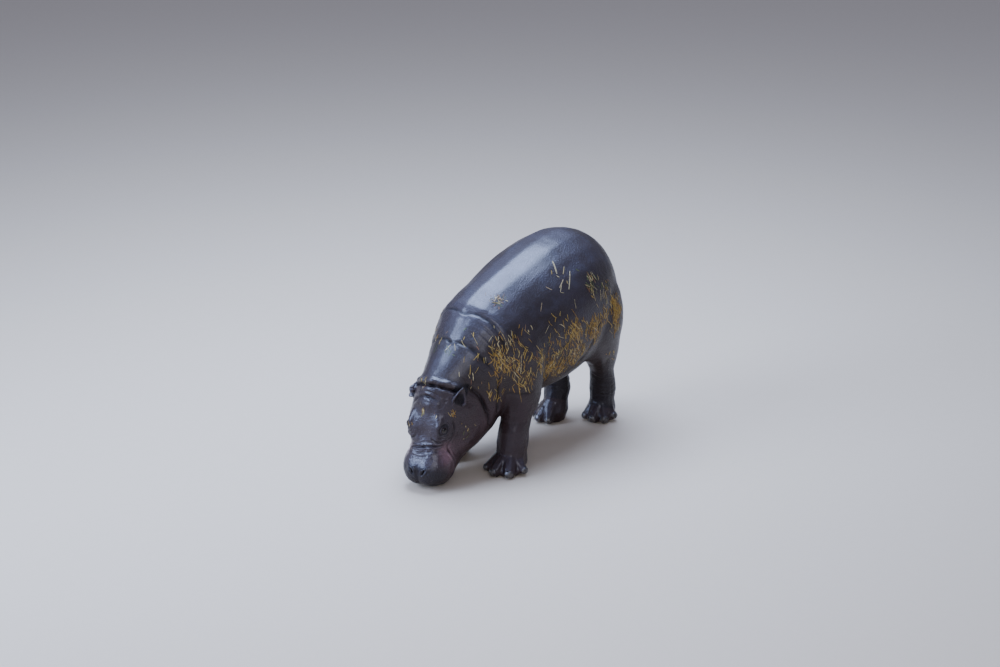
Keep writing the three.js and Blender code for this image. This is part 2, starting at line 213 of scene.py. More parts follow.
def earFrame(side):  # root, and the ways the ear points, faces and is wide
    plan = earPlan[side]

    def way(along, aside, out):
        return alongAxis * along + asideAxis * aside * plan["sign"] + outAxis * out

    points = way(*plan["lean"]).normalized()
    faces = way(*earPlan["facing"])
    faces = (faces - points * faces.dot(points)).normalized()
    along, aside, out = plan["root"]
    return onHead(along, plan["sign"] * aside, out), points, faces, faces.cross(points)


def earSection(share):  # radius in mm and half the arc, at a share of the ear's length
    opened = min(1, earPlan["rootShare"] + earPlan["swell"] * share) * (1 - share ** earPlan["taper"])
    half = earPlan["halfWidth"] * opened + earPlan["tip"]
    arc = math.radians(earPlan["curl"][0] + (earPlan["curl"][1] - earPlan["curl"][0]) * share)
    return half / math.sin(min(arc, math.pi / 2)), arc


def earForm(side):  # a leaf rolled into a cup at its root and pointed at its tip
    root, points, faces, wide = earFrame(side)
    bm = bmesh.new()
    rings = []
    rows, columns = earPlan["rows"], earPlan["columns"]
    for i in range(rows + 1):
        share = min(earPlan["lastRow"], i / rows)
        radius, arc = earSection(share)
        middle = root + points * share * earPlan["length"] * mm
        ring = []
        for layer in (1, -1):
            for k in range(columns + 1):
                angle = arc * (2 * k / columns - 1) * layer
                reach = radius - layer * earPlan["thickness"] / 2
                bowed = wide * math.sin(angle) * reach + faces * (radius - math.cos(angle) * reach)
                back = points * (angle / math.pi) ** 2 * earPlan["sweep"] * share
                ring.append(bm.verts.new(middle + (bowed - back) * mm))
        rings.append(ring)
    count = len(rings[0])
    for low, high in zip(rings, rings[1:]):
        for k in range(count):
            bm.faces.new((low[k], low[(k + 1) % count], high[(k + 1) % count], high[k]))
    bm.faces.new(rings[0][::-1])
    bm.faces.new(rings[-1])
    bmesh.ops.recalc_face_normals(bm, faces=bm.faces)
    return meshOf(bm, "ear")


webPlan = dict(  # the flesh between the toes, in mm, from the middle of each foot outwards
    feet=dict(front_left=(148, 110), front_right=(160, -104), hind_left=(-358, 76), hind_right=(-256, -34)),
    toes=("inner", "fore_inner", "fore_outer", "outer"),
    height=(46, 15), radius=(26, 14), reach=0.78, balls=9, fineness=2,
)


def webForm():  # rows of balls that run into each other
    bm = bmesh.new()
    for foot, middle in webPlan["feet"].items():
        root = Vector((*middle, webPlan["height"][0])) * mm
        nails = [boxMiddle(f"{foot}_nail_{toe}") for toe in webPlan["toes"]]
        for nail, other in zip(nails, nails[1:]):
            end = root.lerp((nail + other) / 2, webPlan["reach"])
            end.z = webPlan["height"][1] * mm
            for share in np.linspace(0, 1, webPlan["balls"]):
                radius = float(np.interp(share, (0, 1), webPlan["radius"])) * mm
                place = Matrix.Translation(root.lerp(end, share))
                bmesh.ops.create_icosphere(bm, subdivisions=webPlan["fineness"], radius=radius, matrix=place)
    return meshOf(bm, "webs")


def joinFlesh():
    made = bmesh.new()
    made.from_mesh(webForm())
    for side in ("left", "right"):
        made.from_mesh(earForm(side))
    for name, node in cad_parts.items():
        if not name.startswith("ear_"):
            made.from_mesh(grown(node, skinPlan["grow"]))
    return meshOf(made, "hide")


def remeshed(mesh, voxel):
    holder = bpy.data.objects.new("hide", mesh)
    bpy.context.scene.collection.objects.link(holder)
    step = holder.modifiers.new("remesh", "REMESH")
    step.mode = "VOXEL"
    step.voxel_size = voxel * mm
    made = bpy.data.meshes.new_from_object(holder.evaluated_get(bpy.context.evaluated_depsgraph_get()))
    bpy.data.objects.remove(holder)
    return made


def outerShell(mesh):  # keeps the largest connected piece
    bm = bmesh.new()
    bm.from_mesh(mesh)
    left = set(bm.verts)
    groups = []
    while left:
        start = left.pop()
        group, queue = [start], [start]
        while queue:
            for e in queue.pop().link_edges:
                for v in e.verts:
                    if v in left:
                        left.remove(v)
                        group.append(v)
                        queue.append(v)
        groups.append(group)
    groups.sort(key=len)
    for group in groups[:-1]:
        bmesh.ops.delete(bm, geom=group, context="VERTS")
    bm.to_mesh(mesh)
    bm.free()
    print("shells found", len(groups))


def nearestSpread(points):  # how far to smooth at each point, from the solid nearest to it
    corners, faces, sizes = [], [], []
    for name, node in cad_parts.items():
        start = len(corners)
        corners += [v.co.copy() for v in node.data.vertices]
        faces += [[start + i for i in p.vertices] for p in node.data.polygons]
        sizes += [spreadOf(name)] * len(node.data.polygons)
    tree = BVHTree.FromPolygons(corners, faces)
    return np.array([sizes[tree.find_nearest(Vector(p))[2]] for p in points])


def roundsFor(spread):  # rounds of softening that spread as far as this, in mm
    return (spread / skinPlan["voxel"]) ** 2 * 2


def makeSkinMesh():
    mesh = remeshed(joinFlesh(), skinPlan["voxel"])
    outerShell(mesh)
    points, edges = meshArrays(mesh)
    near = Neighbours(len(points), edges)
    wanted = nearestSpread(points)
    spread = near.soften(wanted, roundsFor(skinPlan["blend"]))
    crisp = wanted < skinPlan["crisp"]  # ears, eyes and nails
    spread = np.where(crisp, np.minimum(spread, near.soften(wanted, 3)), spread)
    setPoints(mesh, near.smoothed(points, np.minimum(roundsFor(spread), skinPlan["mostRounds"])))
    print("skin base", len(points), "points")
    return mesh


def subdivided(mesh, chosen):  # splits the faces whose middle is chosen
    bm = bmesh.new()
    bm.from_mesh(mesh)
    middles = np.array([f.calc_center_median() for f in bm.faces])
    picked = np.nonzero(chosen(middles))[0]
    bm.faces.ensure_lookup_table()
    edges = {e for i in picked for e in bm.faces[i].edges}
    bmesh.ops.subdivide_edges(bm, edges=list(edges), cuts=1, use_grid_fill=True)
    bm.to_mesh(mesh)
    bm.free()


def faceRegion(points):
    place = headPlaces(points)
    return (place[:, 0] > -75) & (np.abs(place[:, 1]) < 135) & (place[:, 2] > -175)


def fromEyes(points):  # mm from the middle of the nearer eye
    return np.min([np.linalg.norm(points - np.array(m), axis=1) for m in eyeMiddles.values()], axis=0) / mm


def eyeRegion(points):
    return fromEyes(points) < skinPlan["eyeReach"]


skinMesh = makeSkinMesh()
for region, rounds in ((faceRegion, skinPlan["faceRounds"]), (eyeRegion, skinPlan["eyeRounds"])):
    subdivided(skinMesh, region)
    points, edges = meshArrays(skinMesh)
    setPoints(skinMesh, Neighbours(len(points), edges).smoothed(points, region(points) * rounds))


# Lines on the skin in mm, on the head's axes unless they are on the body, from the animal's right to its left
# or downwards. Roll is the height and distance of the bulge behind a line, and lip of the one in front of it.
creases = dict(
    nape=dict(
        knots=[(-12, -82, -40), (-22, -66, -16), (-28, -48, 6), (-31, -20, 19), (-34, 8, 26), (-34, 38, 22),
               (-31, 60, 9), (-27, 76, -8), (-20, 88, -30)],
        depth=11, width=4.4, roll=(6.5, 15), lip=(2.0, 11)),
    brow=dict(
        knots=[(34, -57, -10), (24, -48, 2), (12, -34, 11), (3, -14, 20), (0, 4, 23), (4, 24, 22),
               (10, 40, 17), (20, 52, 8)],
        depth=3.4, width=3.2, roll=(1.6, 9), lip=(2.4, 10)),
    crown=dict(
        knots=[(-4, -40, 10), (-12, -18, 19), (-14, 6, 23), (-11, 30, 20)],
        depth=1.3, width=2.4, roll=(0.7, 6), lip=(0.7, 6)),
    bridge=dict(
        knots=[(158, -52, -32), (158, -38, -22), (156, -18, -13), (152, 7, -11), (146, 28, -14),
               (141, 46, -24), (134, 60, -38)],
        depth=3.4, width=2.4, roll=(2.6, 6), lip=(3.0, 6)),
    secondBridge=dict(
        knots=[(172, -44, -26), (174, -20, -16), (170, 6, -12), (164, 28, -15), (158, 46, -27)],
        depth=1.4, width=2.2, roll=(0.8, 5), lip=(1.0, 5)),
    thirdBridge=dict(
        knots=[(184, -30, -16), (185, -10, -11), (182, 12, -11), (176, 34, -20)],
        depth=0.9, width=2.0, roll=(0.5, 4), lip=(0.5, 4)),
    underEye=dict(
        both=True,
        knots=[(116, 26, 2), (127, 30, -3), (132, 42, -12), (129, 54, -22), (118, 67, -32), (100, 76, -36),
               (84, 79, -30)],
        depth=4.0, width=2.6, roll=(2.6, 7), lip=(1.4, 7)),
    underLid=dict(
        both=True,
        knots=[(104, 36, 8), (114, 44, 0), (118, 56, -12), (112, 67, -24), (98, 75, -28)],
        depth=1.4, width=1.8, roll=(1.0, 4), lip=(0.8, 4)),
    behindEye=dict(
        both=True,
        knots=[(58, 78, -18), (72, 82, -30), (92, 80, -40), (116, 70, -46), (137, 62, -46), (150, 62, -52)],
        depth=2.8, width=2.8, roll=(1.2, 8), lip=(1.8, 8)),
    jowl=dict(
        both=True,
        knots=[(-58, 92, -20), (-45, 104, -41), (-28, 118, -72), (-12, 125, -92), (8, 129, -112),
               (24, 130, -131), (43, 128, -149), (62, 118, -169)],
        depth=9.5, width=5.5, roll=(1.5, 16), lip=(6.0, 18)),
    throat=dict(
        body=True, both=True,
        knots=[(216, 126, 330), (220, 122, 298), (217, 117, 265), (210, 110, 229), (203, 103, 200)],
        depth=5.5, width=5.0, roll=(1.0, 14), lip=(2.0, 16)),
    neckFront=dict(
        body=True,
        knots=[(297, 0, 431), (291, 34, 433), (275, 76, 410), (253, 107, 373), (232, 124, 336)],
        depth=3.9, width=5.2, roll=(1.6, 20), lip=(1.2, 18)),
    neckBack=dict(
        body=True,
        knots=[(241, 0, 504), (230, 40, 506), (215, 86, 489), (206, 117, 449), (198, 133, 405),
               (190, 142, 360)],
        depth=3.7, width=5.6, roll=(1.5, 22), lip=(1.2, 18)),
    neckFine=dict(
        body=True, both=True,
        knots=[(262, 24, 478), (252, 66, 466), (238, 101, 434), (226, 122, 392)],
        depth=0.7, width=2.6, roll=(0.3, 7), lip=(0.3, 7)),
    neckFiner=dict(
        body=True, both=True,
        knots=[(250, 40, 492), (238, 80, 476), (224, 110, 444), (214, 128, 404)],
        depth=1.0, width=2.6, roll=(0.5, 7), lip=(0.5, 7)),
    shoulderFine=dict(
        body=True, both=True,
        knots=[(200, 104, 492), (186, 128, 460), (180, 143, 420), (176, 150, 384)],
        depth=1.7, width=3.4, roll=(0.9, 8), lip=(0.9, 8)),
    shoulderFiner=dict(
        body=True, both=True,
        knots=[(196, 122, 468), (190, 134, 436), (184, 144, 398)],
        depth=1.2, width=2.6, roll=(0.7, 6), lip=(0.7, 6)),
    armpit=dict(
        body=True, both=True, ends=0.4,
        knots=[(196, 120, 262), (180, 132, 260), (166, 142, 259), (150, 156, 257), (126, 167, 259),
               (96, 168, 268)],
        depth=3.0, width=3.6, roll=(1.4, 14), lip=(1.0, 14)),
    flank=dict(
        body=True, both=True,
        knots=[(-196, 172, 408), (-184, 175, 366), (-166, 174, 324), (-146, 166, 292), (-122, 152, 268)],
        depth=3.0, width=9.0, roll=(1.5, 26), lip=(1.2, 24)),
)
creaseLook = dict(
    ends=0.16,  # share of a line over which it fades at each end
    wander=0.10, wanderSize=60,  # how far a line strays, in its own widths, and over how many mm
    fade=0.85, fadeWaves=0.3, fadeSize=34,  # how its depth varies along it
    rollWidth=0.62, shadeWidth=0.8, shadeDepth=4,
)


def groove(distance, width):  # 1 on the line, 0 well away from it
    return np.exp(-((distance / width) ** 2))


def curveThrough(knots, count):  # a smooth line through a few points
    p = np.array([knots[0]] + list(knots) + [knots[-1]], dtype=float)
    made = []
    for k in range(len(p) - 3):
        a, b, c, d = p[k:k + 4]
        for t in np.linspace(0, 1, count, endpoint=False):
            bend = (2 * a - 5 * b + 4 * c - d) * t * t + (3 * b - a - 3 * c + d) * t ** 3
            made.append(0.5 * (2 * b + (c - a) * t + bend))
    made.append(p[-2])
    return np.array(made)


def fromLine(points, normals, line):  # distance in mm, above 0 left of the line, and the share along it
    best = np.full(len(points), 1e9)
    share = np.zeros(len(points))
    side = np.ones(len(points))
    count = len(line) - 1
    for k in range(count):
        a, step = line[k], line[k + 1] - line[k]
        t = np.clip((points - a) @ step / max(step @ step, 1e-12), 0, 1)
        away = points - a - t[:, None] * step
        d = np.linalg.norm(away, axis=1)
        closer = d < best
        best[closer] = d[closer]
        share[closer] = (k + t[closer]) / count
        turn = np.einsum("ij,ij->i", np.cross(np.broadcast_to(step, away.shape), away), normals)
        side[closer] = np.where(turn[closer] < 0, -1, 1)
    return best * side / mm, share


class Sculpt:  # the skin's points while they are shaped
    def __init__(self, mesh):
        self.mesh = mesh
        self.points, self.edges = meshArrays(mesh)
        # painted shade gathered along creases, slits, eyelid folds and ear cups, laid into the colour by
        # paintSkin
        self.shade = np.zeros(len(self.points))
        self.free = np.ones(len(self.points))  # 0 on the ears, which the folds beside them leave alone
        for side in ("left", "right"):
            self.holdEar(side)
        self.refresh()
        self.tree = treeOf(mesh)

    def holdEar(self, side):
        root, points, _, _ = (np.array(v) for v in earFrame(side))
        tree = treeOf(earForm(side))
        away = (self.points - root) / mm
        share = away @ points / earPlan["length"]
        near = np.linalg.norm(away, axis=1) < earPlan["length"] * 1.2
        for i in np.nonzero((share > 0.12) & near)[0]:
            if tree.find_nearest(Vector(self.points[i]))[3] < earPlan["hold"] * mm:
                self.free[i] = 0

    def refresh(self):
        setPoints(self.mesh, self.points)
        self.normals = pointNormals(self.mesh)

    def press(self, depth, which=slice(None)):  # mm inwards
        self.points[which] -= self.normals[which] * (depth * mm * self.free[which])[:, None]

    def onSkin(self, place):
        return np.array(self.tree.find_nearest(Vector(place))[0])

    def crease(self, places, plan, flip=1):
        look = creaseLook
        line = curveThrough([self.onSkin(p) for p in places], 6)
        margin = (max(plan["roll"][1], plan["lip"][1]) * 2 + 12) * mm
        inside = np.all((self.points > line.min(0) - margin) & (self.points < line.max(0) + margin), axis=1)
        close = np.nonzero(inside)[0]
        points = self.points[close]
        d, share = fromLine(points, self.normals[close], line)
        d = d * flip + look["wander"] * plan["width"] * waves(points, look["wanderSize"], len(places))
        ends = plan.get("ends", look["ends"])
        fade = smoothStep(0, ends, share) * smoothStep(0, ends, 1 - share)
        fade *= look["fade"] + look["fadeWaves"] * waves(points, look["fadeSize"], 3)
        depth = plan["depth"] * groove(d, plan["width"])
        for (height, reach), sign in ((plan["roll"], 1), (plan["lip"], -1)):
            depth -= height * groove(d - sign * reach, reach * look["rollWidth"])
        self.press(depth * fade, close)
        shade = groove(d, plan["width"] * look["shadeWidth"]) * min(1, plan["depth"] / look["shadeDepth"])
        self.shade[close] += shade * fade


# Swellings and hollows of the head: place on its axes, reach in mm, height, and whether both sides have it.
bulges = dict(
    temple=((20, 104, -62), (28, 20, 26), 7.5, True),
    forehead=((26, 8, 17), (15, 34, 30), 6.0, False),
    browRidge=((64, 44, 8), (20, 11, 24), 4.5, True),
    templeHollow=((58, 84, -42), (16, 16, 16), -4.0, True),
    bridgeHollow=((116, 0, -1), (20, 34, 30), -4.5, False),
    muzzleTop=((168, 32, -16), (13, 22, 22), 3.0, True),
    nostrilMound=((222, 20, -8), (15, 15, 20), 3.2, True),
    lip=((178, 66, -62), (26, 22, 22), 3.0, True),
    philtrum=((232, 0, -22), (22, 8, 40), -2.2, False),
    cheek=((95, 96, -90), (40, 30, 40), 3.5, True),
)


def shapeBulges(sculpt):
    places = headPlaces(sculpt.points)
    lift = np.zeros(len(places))
    for middle, reach, height, both in bulges.values():
        for sign in (1, -1) if both else (1,):
            away = (places - np.array(middle) * (1, sign, 1)) / np.array(reach)
            lift += height * np.exp(-(away ** 2).sum(axis=1))
    sculpt.press(-lift)


def shapeCreases(sculpt):
    for plan in creases.values():
        onBody, knots = plan.get("body"), plan["knots"]
        mirrored = [(k[0], -k[1], k[2]) for k in knots]
        lines = [(knots, 1)]
        if plan.get("both"):
            lines.append((mirrored, -1))
        elif onBody:
            lines = [(mirrored[:0:-1] + knots, 1)]  # over the top, from side to side
        for line, flip in lines:
            sculpt.crease([Vector(k) * mm if onBody else onHead(*k) for k in line], plan, flip)


muzzlePlan = dict(  # in mm on the head's axes
    nostril=dict(along=229, aside=19, length=7.5, width=2.0, depth=7, lean=0.55, curve=0.022,
                 rim=2.6, rimLength=12.5, rimWidth=9.5, rimAt=0.95, rimSpread=0.42, rimBehind=0.6,
                 outFrom=(-62, -50), alongFrom=(195, 205)),
    mouth=dict(
        knots=[(254, 0, -94), (248, 34, -94), (228, 60, -94), (202, 70, -93), (177, 70, -80), (158, 65, -60),
               (144, 60, -46)],
        depth=5.5, width=2.6, lip=2.8, lipAway=7, lipWidth=4.5),
    groove=dict(depth=1.6, width=4.0, start=(205, 235)),
    pits=dict(count=120, depth=0.9, width=1.3, along=(190, 254), aside=(14, 70), out=(-80, -14)),
)


def shapeNostrils(sculpt):
    along, aside, out = headPlaces(sculpt.points).T
    plan = muzzlePlan["nostril"]
    press = np.zeros(len(along))
    front = smoothStep(*plan["outFrom"], out) * smoothStep(*plan["alongFrom"], along)
    for sign in (1, -1):
        across = sign * aside - plan["aside"]
        forth = along - plan["along"]
        leant = across + plan["lean"] * forth
        wide = leant - plan["curve"] * forth ** 2
        slit = np.exp(-((forth / plan["length"]) ** 4) - (wide / plan["width"]) ** 2)
        away = np.hypot(forth / plan["rimLength"], leant / plan["rimWidth"]) - plan["rimAt"]
        ring = groove(away, plan["rimSpread"]) * np.where(forth < 4, 1, plan["rimBehind"])
        press += (plan["depth"] * slit - plan["rim"] * ring) * front
        sculpt.shade += slit * front
    return press


def shapeMuzzle(sculpt):
    along, aside, out = headPlaces(sculpt.points).T
    press = shapeNostrils(sculpt)
    plan = muzzlePlan["groove"]
    press += plan["depth"] * groove(aside, plan["width"]) * smoothStep(*plan["start"], along)
    pick = np.random.default_rng(5)
    plan = muzzlePlan["pits"]
    near = np.nonzero((along > 175) & (out > -92))[0]
    for _ in range(plan["count"]):  # the pits that the whiskers grow from
        forth = pick.uniform(*plan["along"])
        across = pick.choice([-1, 1]) * pick.uniform(*plan["aside"])
        spot = sculpt.onSkin(onHead(forth, across, pick.uniform(*plan["out"])))
        d = np.linalg.norm(sculpt.points[near] - spot, axis=1) / mm
        press[near] += plan["depth"] * groove(d, plan["width"])
    sculpt.press(press)
    shapeMouth(sculpt, np.nonzero((along > 125) & (out < -25))[0])


def shapeMouth(sculpt, near):
    plan = muzzlePlan["mouth"]
    whole = [(k[0], -k[1], k[2]) for k in plan["knots"][:0:-1]] + plan["knots"]
    line = curveThrough([sculpt.onSkin(onHead(*k)) for k in whole], 8)
    d, share = fromLine(sculpt.points[near], sculpt.normals[near], line)
    fade = smoothStep(0, 0.06, share) * smoothStep(0, 0.06, 1 - share)
    lips = plan["lip"] * groove(np.abs(d) - plan["lipAway"], plan["lipWidth"])
    sculpt.press((plan["depth"] * groove(d, plan["width"]) - lips) * fade, near)
    sculpt.shade[near] += groove(d, plan["width"]) * fade


eyePlan = dict(  # in mm; wrap, edge, rim and folds in sizes of the opening
    opening=(10.0, 7.4), lower=0.92, lid=1.2, sink=3.4, wrap=(1.15, 2.3), edge=(1.12, 0.86),
    rim=(1.32, 0.16, 0.7), fold=(1.85, 0.17, 2.2), lowerFold=(2.5, 0.2, 1.3),  # place, width, height or depth
    brow=(-3, 20, 18, 8, 4.5), pouch=(4, -17, 15, 6, 2.6),  # place, reach and height
    # socket: mm over which painted shade fades round each eye
    segments=64, rings=40, fit=0.985, bulge=0.055, bulgeSize=0.8, iris=0.66, pupil=0.34, socket=19,
)


def eyeFrame(side, sign):  # centre, radius in mm, and the ways of its sight, front corner and upper lid
    low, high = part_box("eye_" + side)
    sight = np.array((asideAxis * sign * 0.82 + outAxis * 0.54 - alongAxis * 0.06).normalized())
    level = np.array(alongAxis) * 0.96 + np.array(outAxis) * 0.24
    level -= sight * (level @ sight)
    level /= np.linalg.norm(level)
    rise = np.cross(sight, level) * -sign
    return np.array((low + high) / 2), (high - low).x / 2 / mm, sight, level, rise


def mound(far, up, plan):  # a soft oval swelling beside the eye
    middle, height, wide, tall, size = plan
    return size * np.exp(-((far - middle) / wide) ** 2 - ((up - height) / tall) ** 2)


def shapeEye(sculpt, side, sign):
    plan = eyePlan
    centre, radius, sight, level, rise = eyeFrame(side, sign)
    close = np.nonzero(np.linalg.norm(sculpt.points - centre, axis=1) < 60 * mm)[0]
    away = (sculpt.points[close] - centre) / mm
    deep, far, up = away @ sight, away @ level, away @ rise
    distance = np.maximum(np.linalg.norm(away, axis=1), 1e-6)[:, None]
    wide, tall = plan["opening"]
    flat = np.hypot(far / wide, up / np.where(up > 0, tall, tall * plan["lower"]))
    facing = smoothStep(-6, 2, deep)
    wrap = (1 - smoothStep(*plan["wrap"], flat)) * facing
    place, width, height = plan["rim"]
    reach = radius + plan["lid"] + height * groove(flat - place, width)
    reach -= (plan["lid"] + plan["sink"]) * smoothStep(*plan["edge"], flat)
    wrapped = centre + away / distance * reach[:, None] * mm
    sculpt.points[close] += (wrapped - sculpt.points[close]) * wrap[:, None]
    place, width, depth = plan["fold"]
    press = depth * groove(flat - place, width) * np.where(up > 0, 1, 0.7)
    sculpt.shade[close] += (0.9 * groove(flat - place, 0.2) + 0.6 * groove(flat - 1.1, 0.2)) * facing
    place, width, depth = plan["lowerFold"]
    press += depth * groove(flat - place, width) * smoothStep(6, -4, up)
    press -= mound(far, up, plan["brow"]) + mound(far, up, plan["pouch"])
    sculpt.press(press * smoothStep(1.2, 1.5, flat) * facing, close)
    sculpt.refresh()


def shadeEars(sculpt):  # painted shade inside each cup
    for side in ("left", "right"):
        root, points, faces, wide = (np.array(v) for v in earFrame(side))
        away = (sculpt.points - root) / mm
        share = away @ points / earPlan["length"]
        near = np.linalg.norm(away, axis=1) < earPlan["length"] * 1.1
        close = np.nonzero((share > -0.1) & (share < 1) & near)[0]
        away, share = away[close], share[close]
        sections = [earSection(value) for value in np.clip(share, 0, 1)]
        rim = np.array([radius * (1 - math.cos(arc)) for radius, arc in sections])
        inner = smoothStep(0.1, 0.5, sculpt.normals[close] @ faces) * smoothStep(2, 9, rim - away @ faces)
        inner *= np.abs(away @ wide) < 22
        sculpt.shade[close] += inner * smoothStep(1, 0.75, share)


bodyPlan = dict(  # in mm
    swells=((0.9, 170, 7), (0.5, 60, 9)),  # height, size and seed; the second only low on the body
    rings=dict(depth=1.25, width=2.4, height=(90, 156), count=6, wander=5.5, wanderSize=75, fadeSize=42,
               ridge=6, ridgeWidth=4, ridgeHeight=0.5),
    roughness=((26, 0.55), (11, 0.32), (6, 0.18)),  # size and height, on the head
)


def shapeBody(sculpt):
    x, _, z = sculpt.points.T / mm
    (broad, broadSize, broadSeed), (small, smallSize, smallSeed) = bodyPlan["swells"]
    press = broad * waves(sculpt.points, broadSize, broadSeed)
    press += small * waves(sculpt.points, smallSize, smallSeed) * smoothStep(420, 250, z)
    plan = bodyPlan["rings"]
    low, high = plan["height"]
    for k in range(plan["count"]):  # rings of wrinkles above the feet
        level = low + (high - low) * k / (plan["count"] - 1)
        level += plan["wander"] * waves(sculpt.points, plan["wanderSize"], 30 + k)
        uneven = np.clip(0.5 + 0.75 * waves(sculpt.points, plan["fadeSize"], 40 + k), 0, 1.2)
        ring = plan["depth"] * groove(z - level, plan["width"])
        ring -= plan["ridgeHeight"] * plan["depth"] * groove(z - level - plan["ridge"], plan["ridgeWidth"])
        press += ring * uneven * (x < 260)
    sculpt.press(press * (headPlaces(sculpt.points)[:, 0] < -60))
    rough = np.zeros(len(x))
    along = headPlaces(sculpt.points)[:, 0]
    for k, (size, height) in enumerate(bodyPlan["roughness"]):
        rough += height * waves(sculpt.points, size, 60 + k) * waves(sculpt.points, size * 3.1, 70 + k)
    sculpt.press(rough * smoothStep(-70, -30, along) * (fromEyes(sculpt.points) > 22))
    sculpt.refresh()


sculpt = Sculpt(skinMesh)
shapeBulges(sculpt)
sculpt.refresh()
shapeCreases(sculpt)
sculpt.refresh()
shapeMuzzle(sculpt)
sculpt.refresh()
shapeEye(sculpt, "left", 1)
shapeEye(sculpt, "right", -1)
shadeEars(sculpt)
shapeBody(sculpt)
sculpt.points[:, 2] = np.maximum(sculpt.points[:, 2], aboveFloor)
sculpt.refresh()
print("skin", len(skinMesh.vertices), "points", len(skinMesh.polygons), "faces")


class Value:  # a socket that adds Math nodes when it is used in a sum
    def __init__(self, graph, socket):
        self.graph, self.socket = graph, socket

    def sum(self, operation, *values):
        return self.graph.node("ShaderNodeMath", {"operation": operation}, dict(enumerate(values)))

    def __add__(self, other):
        return self.sum("ADD", self, other)

    def __sub__(self, other):
        return self.sum("SUBTRACT", self, other)

    def __rsub__(self, other):
        return self.sum("SUBTRACT", other, self)

    def __mul__(self, other):
        return self.sum("MULTIPLY", self, other)

    __radd__ = __add__
    __rmul__ = __mul__


class Graph:  # the nodes of one material, or of the world
    def __init__(self, name, owner=None):
        self.material = owner or bpy.data.materials.new(name)
        self.material.use_nodes = True
        self.tree = self.material.node_tree
        self.tree.nodes.clear()

    def node(self, kind, settings=None, sockets=None, output=0):
        made = self.tree.nodes.new(kind)
        for key, value in (settings or {}).items():
            if key == "stops":
                while len(made.color_ramp.elements) < len(value):
                    made.color_ramp.elements.new(0.5)
                for stop, (at, colour) in zip(made.color_ramp.elements, value):
                    stop.position, stop.color = at, (*colour, 1)
            else:
                setattr(made, key, value)
        for key, value in (sockets or {}).items():
            if isinstance(value, Value):
                self.tree.links.new(value.socket, made.inputs[key])
            else:
                made.inputs[key].default_value = value
        return Value(self, made.outputs[output])

    def between(self, share, low, high):  # a colour between two others
        low, high = (value if isinstance(value, Value) else (*value, 1) for value in (low, high))
        return self.node("ShaderNodeMix", {"data_type": "RGBA"}, {0: share, 6: low, 7: high}, 2)

    def mask(self, value, low, high):  # 0 below low, 1 above high
        kind = {"interpolation_type": "SMOOTHSTEP"}
        return self.node("ShaderNodeMapRange", kind, {0: value, 1: low, 2: high})

    def places(self):
        return self.node("ShaderNodeTexCoord", output=3)

    def noise(self, places, scale, detail=3, rough=0.55):
        sockets = {"Vector": places, "Scale": scale, "Detail": detail, "Roughness": rough}
        return self.node("ShaderNodeTexNoise", None, sockets)

    def cells(self, places, scale):
        return self.node("ShaderNodeTexVoronoi", {"feature": "F1"}, {"Vector": places, "Scale": scale})

    def stretched(self, places, turn, size):  # size in metres along each axis of the turned places
        sockets = {"Vector": places, "Rotation": turn, "Scale": size}
        return self.node("ShaderNodeMapping", {"vector_type": "TEXTURE"}, sockets)

    def attribute(self, name):
        return self.node("ShaderNodeAttribute", {"attribute_name": name}, output=2)

    def finish(self, **sockets):
        shader = self.node("ShaderNodeBsdfPrincipled", None, sockets)
        end = self.tree.nodes.new("ShaderNodeOutputMaterial")
        self.tree.links.new(shader.socket, end.inputs[0])
        return self.material


